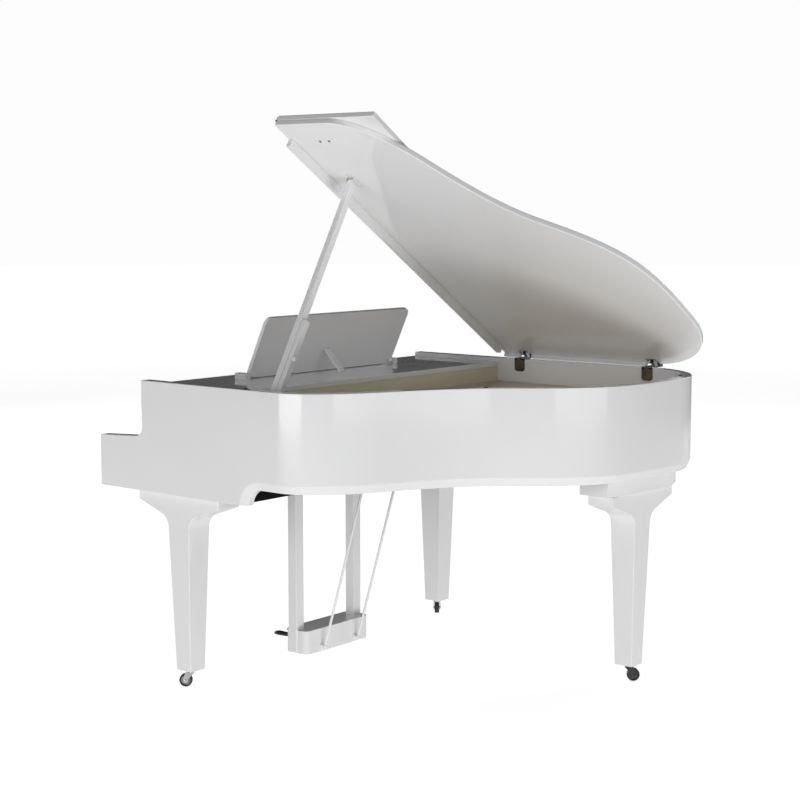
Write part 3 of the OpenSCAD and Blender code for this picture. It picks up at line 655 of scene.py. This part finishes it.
def music_desk():
    """The board with its ledge and lip, the knuckles at its ends and the lug that holds the strut."""
    w = DESK_HALF
    bm = bmesh.new()
    board = [(-w, -DESK_DROP), (w, -DESK_DROP)]
    board += arc((w - DESK_R, DESK_UP - DESK_R), DESK_R, 0, 90, 14)
    board += arc((DESK_R - w, DESK_UP - DESK_R), DESK_R, 90, 180, 14)
    prism(bm, board, -13, -1, "y")
    block(bm, (30 - w, w - 30), (-39, -12.5), (12, 22))
    block(bm, (30 - w, w - 30), (-39, -35), (20, 28))
    for side in (-1, 1):
        rod(bm, (side * (w - 20), 0, 0), (side * w, 0, 0), 7.6)
    block(bm, (STRUT_X - 26, STRUT_X - 12), (-1.2, 9.6), (STRUT_AT - 7, STRUT_AT + 7))
    piece("music_desk_finished", bm, "desk", lacquer, ("music_desk",), DESK, edge=2)


music_desk()
rounded("desk_strut", "strut", lacquer, 1.5)
rounded("desk_brackets", "case", lacquer, 1.5)


# ---------------------------------------------------------------- keyboard
rounded("white_keys", "case", ivory, 0.8)
for key in ("f", "g", "a", "b"):
    rounded("key_" + key, f"key_{key}_body", ivory, 0.8)
key_lo, key_hi = span("black_keys")
SHARP_FRONT, SHARP_BACK = key_lo.y, 190
KEY_PITCH = 23.5
KEYS = 88
OCTAVE = 12
WHITE_HALF = 26
WHITES = (0, 2, 3, 5, 7, 8, 10)
SHARP_SHIFT = {1: 3.5, 4: -3, 6: 3, 9: -3.5, 11: 0}


def black_key(bm, x):
    """A black key: narrower at the top, with a sloping front, and the stick behind it."""
    low, top = key_lo.z, key_hi.z
    profile = [
        (SHARP_FRONT, low), (SHARP_FRONT, low + 14), (SHARP_FRONT + 9, top),
        (SHARP_BACK, top), (SHARP_BACK, low),
    ]
    sides = []
    for s in (-1, 1):
        sides.append([
            bm.verts.new((x + s * (5.5 - (z - low) / (top - low)), y, z)) for y, z in profile
        ])
    skin(bm, sides)
    block(bm, (x - 3.5, x + 3.5), (SHARP_BACK - 1, key_hi.y), (low, low + 14))


def black_keys():
    """All 36 black keys: three that move on their own, and the rest as one piece."""
    moving = {45: "key_f_sharp", 47: "key_g_sharp", 49: "key_a_sharp"}
    fixed = bmesh.new()
    for n in range(KEYS):
        if n % OCTAVE in WHITES:
            continue
        whites = n // OCTAVE * len(WHITES) + sum(w < n % OCTAVE for w in WHITES)
        x = KEY_PITCH * (whites - WHITE_HALF) + SHARP_SHIFT[n % OCTAVE]
        if n in moving:
            bm = bmesh.new()
            black_key(bm, x)
            piece(
                moving[n] + "_finished", bm, moving[n] + "_body", ebony, (moving[n],),
                edge=1.3,
            )
        else:
            black_key(fixed, x)
    piece("black_keys_finished", fixed, "case", ebony, ("black_keys",), edge=1.3)


black_keys()
rounded("fallboard", "fallboard", lacquer, 2.0)


FELT_HALF = 612


def key_felt():
    """Two strips of red felt under the nameboard."""
    low, high = span("nameboard")
    bm = bmesh.new()
    for i in range(2):
        block(bm, (-FELT_HALF, FELT_HALF), (low.y - 3 + i, low.y), (low.z - 1 - 4 * i, low.z + 5 - 4 * i))
    piece("name_felt", bm, "case", felt, (), edge=0.8)


key_felt()


# ---------------------------------------------------------------- controls and electronics
KNOB_RIBS = 30


def stand_on(node):
    """The middle of a CAD node's foot, and its height."""
    low, high = span(node)
    return ((low.x + high.x) / 2, (low.y + high.y) / 2, low.z), high.z - low.z


def power_button():
    """A push button with a dished top."""
    centre, tall = stand_on("power_button")
    bm = bmesh.new()
    profile = [(0, 0), (6, 0), (6, tall - 1.2), (5.6, tall - 0.4), (4.8, tall)]
    profile += [(3, tall - 0.5), (0, tall - 0.7)]
    lathe(bm, profile, centre, UP)
    piece("power_button_finished", bm, "power", black_gloss, ("power_button",))


def volume_knob():
    """A knob on its shaft, with ribs round its side and a pointer on its top."""
    centre, tall = stand_on("volume_knob")
    x, y, foot = centre
    top = foot + tall
    bm = bmesh.new()
    profile = [(0, 0), (3, 0), (3, 10), (9.6, 10), (10, 10.6), (9.7, tall - 2.2)]
    profile += [(8.8, tall - 1.3), (0, tall - 1.2)]
    lathe(bm, profile, centre, UP, 60)
    for i in range(KNOB_RIBS):
        a = 2 * math.pi * i / KNOB_RIBS
        edge = Vector((x + 9.6 * math.cos(a), y + 9.6 * math.sin(a), foot + 10.8))
        rod(bm, edge, (edge.x, edge.y, top - 2.2), 0.45, 8)
    block(bm, (x - 0.6, x + 0.6), (y + 3, y + 8), (top - 1.6, top - 0.9))
    piece("volume_knob_finished", bm, "volume", black_plastic, ("volume_knob",))


power_button()
volume_knob()

WOOFERS = ((-360, 1000), (330, 880))


def speakers():
    """Two loudspeakers in the bottom board: basket with magnet, cone with surround, grille cloth."""
    basket, cone, cloth = bmesh.new(), bmesh.new(), bmesh.new()
    frame_edge = [(70, 0), (81, 0), (82, 1), (82, 5), (74, 6), (46, 46), (48, 50), (48, 73)]
    frame_edge += [(46, 74), (0, 74), (0, 60), (40, 44), (68, 4)]
    roll = [math.radians(a) for a in range(0, 181, 20)]
    surround = [(72, 1)] + [(67 + 4.5 * math.cos(a), 1 - 4 * math.sin(a)) for a in roll]
    surround += [(30, 26), (22, 30), (20, 24), (12, 19), (0, 17)]
    screen = [(0, 2), (72, 2), (73.6, 3), (73.6, -1), (72, -2), (60, -1.2), (0, -1.2)]
    for x, y in WOOFERS:
        lathe(basket, frame_edge, (x, y, BOARD_TOP), UP)
        lathe(cone, surround, (x, y, BOARD_TOP), UP)
        lathe(cloth, screen, (x, y, span("bottom_board")[0].z + 3), UP)
    piece("speaker_baskets", basket, "case", black_plastic, ("speakers",))
    piece("speaker_cones", cone, "case", rubber)
    piece("speaker_grilles", cloth, "case", grille)


speakers()


JACK_XS = (-585, -560)
JACK_Y = 30
JACK_Z = 612


def sockets():
    """The mains inlet with its pins, and the box of the headphone sockets with chrome rings."""
    low, high = span("ac_inlet")
    rounded("ac_inlet", "case", black_plastic, 1.2)
    rounded("jack_box", "case", black_plastic, 1.5)
    bm = bmesh.new()
    cx, cy = (low.x + high.x) / 2, (low.y + high.y) / 2
    for dx, dy in ((-6, -1.5), (6, -1.5), (0, 2.5)):
        block(bm, (cx + dx - 1, cx + dx + 1), (cy + dy - 2, cy + dy + 2), (low.z + 6, low.z + 19))
    piece("inlet_pins", bm, "case", steel, (), edge=0.3)
    bm = bmesh.new()
    for x in JACK_XS:
        ring = [(3.3, 0.3), (3.3, -0.9), (5.6, -0.9), (6.2, -0.3), (6.2, 0.3)]
        turned(bm, ring, (x, JACK_Y, JACK_Z), BACK, 36)
    piece("jack_rings", bm, "case", chrome)


sockets()


BUMPERS = ((-500, 1440), (200, 1175), (688, 640))
DECK_SCREWS = ((-560, 700), (-560, 1150), (-150, 1400), (250, 1050), (560, 760))
LEGS = ((636, 334), (-636, 334), (-307, 1379))
LEG_FOOT = 55


def bumpers_and_screws():
    """Rubber pads on the rim, the screws of the deck and those of the caster plates."""
    bm = bmesh.new()
    for x, y in BUMPERS:
        pad = [(0, 0), (6, 0), (6, 1.6), (5, 2.5), (3, 2.8), (0, 2.8)]
        lathe(bm, pad, (x, y, RIM_TOP), UP, 32)
    piece("lid_bumpers_finished", bm, "case", rubber, ("lid_bumpers",))
    bm = bmesh.new()
    for x, y in DECK_SCREWS:
        screw(bm, (x, y, DECK_TOP), UP, 4.2, 1.6)
    for x, y in LEGS:
        for dx in (-26, 26):
            screw(bm, (x + dx, y, LEG_FOOT), DOWN, 2.6, 0.6)
    piece("screws_finished", bm, "case", steel, ("screws",))


bumpers_and_screws()


# ---------------------------------------------------------------- lyre
BRACE_X = 86


def lyre_braces():
    """Two slim rods from the back of the pedal box up to the keybed, with their end fittings."""
    foot_y, foot_z, head_y, head_z = 416, 33, 596, FRONT_BOTTOM
    socket = [(0, -7)] + arc((0, 0), 7, -80, 60, 10) + [(5.2, 9), (5.2, 16), (4.4, 18)]
    washer = [(0, 0), (9, 0), (9.5, 0.6), (9.5, 2.4), (8.5, 3), (0, 3)]
    flange = [(0, 0), (11, 0), (11, 1.6), (9.6, 2.9), (6, 3.4), (5.4, 8), (0, 8)]
    bm = bmesh.new()
    for side in (-1, 1):
        x = side * BRACE_X
        foot, head = Vector((x, foot_y, foot_z)), Vector((x, head_y, head_z - 2))
        way = (head - foot).normalized()
        rod(bm, foot, head, 4.4, 32)
        lathe(bm, socket, foot, way, 32)
        rod(bm, (x, 399, foot_z), (x, foot_y, foot_z), 4)
        lathe(bm, washer, (x, 400, foot_z), BACK, 32)
        lathe(bm, flange, (x, head_y, head_z), DOWN, 36)
        for dy in (-8, 8):
            screw(bm, (x, head_y + dy, head_z - 2.6), DOWN, 1.8, 0.7)
    piece("lyre_braces_finished", bm, "case", lacquer, ("lyre_braces",))


lyre_braces()


SCREW_KNURLS = 24


def floor_screws():
    """The lyre's two levelling feet, with knurled edges, on their threads."""
    bm = bmesh.new()
    foot = [(0, 0), (12.5, 0), (13.6, 0.8), (13.6, 4.2), (12.5, 5), (6, 5), (5, 6), (5, 80), (0, 81)]
    low, high = span("floor_screw")
    cy = (low.y + high.y) / 2
    for x in (low.x + 14, high.x - 14):
        lathe(bm, foot, (x, cy, 0), UP)
        for i in range(SCREW_KNURLS):
            a = 2 * math.pi * i / SCREW_KNURLS
            edge = Vector((x + 13.4 * math.cos(a), cy + 13.4 * math.sin(a), 0.9))
            rod(bm, edge, edge + Vector((0, 0, 3.2)), 0.6, 8)
    piece("floor_screws_finished", bm, "case", steel, ("floor_screw",))


floor_screws()


TOE_R = 15
NECK_R = 8.5


def pedal(side):
    """A cast pedal: a slim neck that widens into a rounded toe."""
    node, body = "pedal_" + side, side + "_pedal"
    low, high = span(node)
    cx = (low.x + high.x) / 2
    axle = pivot(side + "_press")
    tip, back = low.y, axle.y
    mid_z = low.z + 6
    bm = bmesh.new()
    rings = []
    stations = 26
    for i in range(stations + 1):
        t = i / stations
        y = tip + 0.4 + (back - tip - 0.4) * t
        from_tip = y - tip
        toe = TOE_R * math.sqrt(max(0.02, 1 - (1 - min(from_tip, TOE_R) / TOE_R) ** 2))
        ease = min(1, max(0, (from_tip - 24) / 60))
        half = toe + (NECK_R - TOE_R) * ease * ease * (3 - 2 * ease) if from_tip > TOE_R else toe
        thick = 5.6 if from_tip > 12 else 3.2 + 2.4 * math.sqrt(from_tip / 12)
        ring = []
        for k in range(20):
            a = 2 * math.pi * k / 20
            c, s = math.cos(a), math.sin(a)
            px = half * math.copysign(abs(c) ** 0.45, c)
            pz = thick * math.copysign(abs(s) ** 0.6, s)
            ring.append(bm.verts.new((cx + px, y, mid_z + pz)))
        rings.append(ring)
    skin(bm, rings)
    boss = [(4.05, -9), (8.4, -9), (9, -8.4), (9, 8.4), (8.4, 9), (4.05, 9)]
    turned(bm, boss, (cx, axle.y, axle.z), RIGHT, 36)
    piece(node + "_finished", bm, body, black_gloss, (node,))


for side in ("soft", "sostenuto", "damper"):
    pedal(side)


# ---------------------------------------------------------------- casters
# Painted shade: the tail caster is a darker copy of the chrome casters, in black gloss and black plastic
# where the others have chrome, rubber and gunmetal.
CASTER_PAINTED_SHADE = {"tail": (black_gloss, black_gloss, black_plastic)}
HUB_BOLTS = 5


def caster(which):
    """A swivel plate, a two-cheek fork, an axle and a wheel with a raised hub."""
    top, axle = pivot("swivel_" + which), pivot("roll_" + which)
    trail = Vector((axle.x - top.x, axle.y - top.y, 0))
    turn = math.atan2(trail.y, trail.x)
    pose = Matrix.Translation((top.x, top.y, 0)) @ Matrix.Rotation(turn, 4, "Z")
    reach, r = trail.length, axle.z
    # Chrome, rubber and gunmetal for the treble and bass casters; for the tail caster, the darker copy that
    # stands in for painted shade.
    fork_finish_and_shade, tyre_finish_and_shade, hub_finish_and_shade = CASTER_PAINTED_SHADE.get(which, (chrome, rubber, gunmetal))
    bm = bmesh.new()
    plate = [(0, 55), (17, 55), (17.6, 54.2), (17.6, 52), (16, 51), (13, 50.2), (13, 49.2), (0, 49.2)]
    lathe(bm, plate, (0, 0, 0), UP)
    rod(bm, (0, 0, 54), (0, 0, 100), 4)
    for side in (-1, 1):
        cheek = [(-11, 49.6), (-12, 47), (reach - 9.5, r + 6)] + arc((reach, r), 8.5, 160, 360, 18)
        cheek += [(reach + 8.2, r + 6), (16, 47), (14, 49.6)]
        y = side * 11.5
        prism(bm, cheek, y - 1.5, y + 1.5, "y")
        cap = [(0, 2.2), (2.4, 2.0), (4.2, 1.0), (4.8, 0), (0, 0)]
        lathe(bm, cap, (reach, side * 13, r), (0, side, 0), 24)
    crown = rounded_rect((-12, 15), (-13, 13), 5)
    prism(bm, crown, 46.6, 49.8)
    rod(bm, (reach, -12, r), (reach, 12, r), 3)
    piece(
        f"caster_fork_{which}_finished", bm, "fork_" + which, fork_finish_and_shade, ("caster_fork_" + which,),
        pose, edge=0.7, steps=2,
    )
    bm = bmesh.new()
    shoulder = [math.radians(a) for a in (20, 50, 80)]
    half = [(r - 2.6 + 2.6 * math.cos(a), 6 + 2.5 * math.sin(a)) for a in shoulder]
    half = [(r, 4)] + half + [(16.2, 8.1), (15.4, 6.4)]
    tyre = [(radius, -h) for radius, h in half[::-1]] + half
    turned(bm, tyre, (reach, 0, r), (0, 1, 0), 72)
    piece(
        "caster_tyre_" + which, bm, "wheel_" + which, tyre_finish_and_shade, ("caster_wheel_" + which,),
        pose,
    )
    bm = bmesh.new()
    half = [(15.8, 6.6), (14.6, 5.6), (8, 6.6), (7.4, 8.6), (6.5, 9.3), (3.1, 9.3)]
    hub = [(radius, -h) for radius, h in half[::-1]] + half
    turned(bm, hub, (reach, 0, r), (0, 1, 0), 60)
    bolt = [(0, 0.9), (1.5, 0.9), (2, 0.3), (2, -0.6), (0, -0.6)]
    for i in range(HUB_BOLTS):
        a = 2 * math.pi * i / HUB_BOLTS
        for side in (-1, 1):
            spot = (reach + 11.5 * math.cos(a), side * 5.7, r + 11.5 * math.sin(a))
            lathe(bm, bolt, spot, (0, side, 0), 16)
    piece("caster_hub_" + which, bm, "wheel_" + which, hub_finish_and_shade, (), pose)


for which in ("treble", "bass", "tail"):
    caster(which)

# ---------------------------------------------------------------- finishes of the CAD nodes that stay
def repaint(node, finish):
    """Gives every material slot of a CAD node the finish."""
    mesh = frame["nodes"][node].data
    if not len(mesh.materials):
        mesh.materials.append(finish)
    for i in range(len(mesh.materials)):
        mesh.materials[i] = finish


repaint("bottom_board", black_board)
repaint("sound_deck", deck_paint)
repaint("main_board", board_green)
for node in ("key_frame", "power_supply", "pedal_axle"):
    repaint(node, steel)


# ---------------------------------------------------------------- studio
def studio_floor(scene):
    """A pale round floor that glows a little, so that it fades out far from the part."""
    bm = bmesh.new()
    bmesh.ops.create_circle(bm, cap_ends=True, segments=96, radius=40)
    mesh = bpy.data.meshes.new("studio_floor")
    bm.to_mesh(mesh)
    bm.free()
    floor = bpy.data.objects.new("studio_floor", mesh)
    scene.collection.objects.link(floor)
    paper = material("pale_floor", (0.80, 0.80, 0.80), (0.82, 0.82, 0.82), (0.9, 0.95), scale=0.5)
    shader = paper.node_tree.nodes["Principled BSDF"]
    shader.inputs["Specular IOR Level"].default_value = 0.0
    shader.inputs["Emission Color"].default_value = (1, 1, 1, 1)
    nodes, links = paper.node_tree.nodes, paper.node_tree.links
    reach = nodes.new("ShaderNodeVectorMath")
    reach.operation = "LENGTH"
    place = next(n for n in nodes if n.type == "TEX_COORD")
    links.new(place.outputs["Object"], reach.inputs[0])

    def glow_by_distance(near, far):
        ramp = nodes.new("ShaderNodeMapRange")
        ramp.inputs["From Min"].default_value = 3.0
        ramp.inputs["From Max"].default_value = 12.0
        ramp.inputs["To Min"].default_value = near
        ramp.inputs["To Max"].default_value = far
        links.new(reach.outputs["Value"], ramp.inputs["Value"])
        return ramp.outputs["Result"]

    path = nodes.new("ShaderNodeLightPath")
    glow_mix = nodes.new("ShaderNodeMix")
    links.new(path.outputs["Is Camera Ray"], glow_mix.inputs["Factor"])
    links.new(glow_by_distance(0.40, 0.14), glow_mix.inputs["A"])
    links.new(glow_by_distance(0.80, 0.97), glow_mix.inputs["B"])
    links.new(glow_mix.outputs["Result"], shader.inputs["Emission Strength"])
    mesh.materials.append(paper)
    floor.visible_shadow = False


def studio_world(scene):
    """White behind the part for the camera, and a faint glow for everything else."""
    world = bpy.data.worlds.new("studio_world")
    scene.world = world
    world.use_nodes = True
    tree = world.node_tree
    tree.nodes.clear()
    out = tree.nodes.new("ShaderNodeOutputWorld")
    seen = tree.nodes.new("ShaderNodeBackground")
    seen.inputs["Color"].default_value = (1, 1, 1, 1)
    seen.inputs["Strength"].default_value = 0.98
    glow = tree.nodes.new("ShaderNodeBackground")
    glow.inputs["Color"].default_value = (0.98, 0.99, 1.0, 1)
    glow.inputs["Strength"].default_value = 0.036
    path = tree.nodes.new("ShaderNodeLightPath")
    mix = tree.nodes.new("ShaderNodeMixShader")
    tree.links.new(path.outputs["Is Camera Ray"], mix.inputs["Fac"])
    tree.links.new(glow.outputs["Background"], mix.inputs[1])
    tree.links.new(seen.outputs["Background"], mix.inputs[2])
    tree.links.new(mix.outputs["Shader"], out.inputs["Surface"])


def softbox(scene, name, where, aim, size, power):
    """A soft lamp at a place in metres, turned to what it lights."""
    lamp = bpy.data.lights.new(name, "AREA")
    lamp.shape = "RECTANGLE"
    lamp.size, lamp.size_y = size
    lamp.energy = power
    obj = bpy.data.objects.new(name, lamp)
    obj.location = where
    obj.rotation_euler = (Vector(aim) - Vector(where)).to_track_quat("-Z", "Y").to_euler()
    obj.visible_camera = False
    scene.collection.objects.link(obj)


CASE_MIDDLE = (0, 0, 0.9)
LID_MIDDLE = (0, 0.7, 1.2)
SOFTBOXES = (
    ("treble_softbox", (7.0, -0.6, 1.6), CASE_MIDDLE, (6.0, 3.2), 180),
    ("tail_softbox", (1.8, 7.2, 1.6), CASE_MIDDLE, (6.0, 3.2), 76),
    ("low_tail_softbox", (2.2, 5.4, -2.2), LID_MIDDLE, (4.0, 2.0), 142),
    ("bass_softbox", (-6.5, 2.0, 2.6), CASE_MIDDLE, (4.0, 3.0), 100),
    ("front_softbox", (-1.0, -6.5, 3.4), CASE_MIDDLE, (5.0, 3.0), 105),
)
EYE = (4341.5, 4241.4, 1524.1)
EYE_YAW = math.radians(39.393)
EYE_PITCH = math.radians(6.442)
EYE_LENS = 77.1


def photo_camera(scene):
    """The photograph's viewpoint, from the treble side and behind."""
    eye = bpy.data.cameras.new("photo_view")
    eye.sensor_width = 36
    eye.lens = EYE_LENS
    camera = bpy.data.objects.new("photo_view", eye)
    camera.location = PLACE @ Vector(EYE)
    level = math.cos(EYE_PITCH)
    ahead = Vector((-math.cos(EYE_YAW) * level, -math.sin(EYE_YAW) * level, -math.sin(EYE_PITCH)))
    camera.rotation_euler = ahead.to_track_quat("-Z", "Y").to_euler()
    scene.collection.objects.link(camera)
    scene.camera = camera


def studio():
    scene = bpy.context.scene
    scene.view_settings.view_transform = "Standard"
    scene.view_settings.look = "None"
    studio_floor(scene)
    studio_world(scene)
    for box in SOFTBOXES:
        softbox(scene, *box)
    photo_camera(scene)


studio()
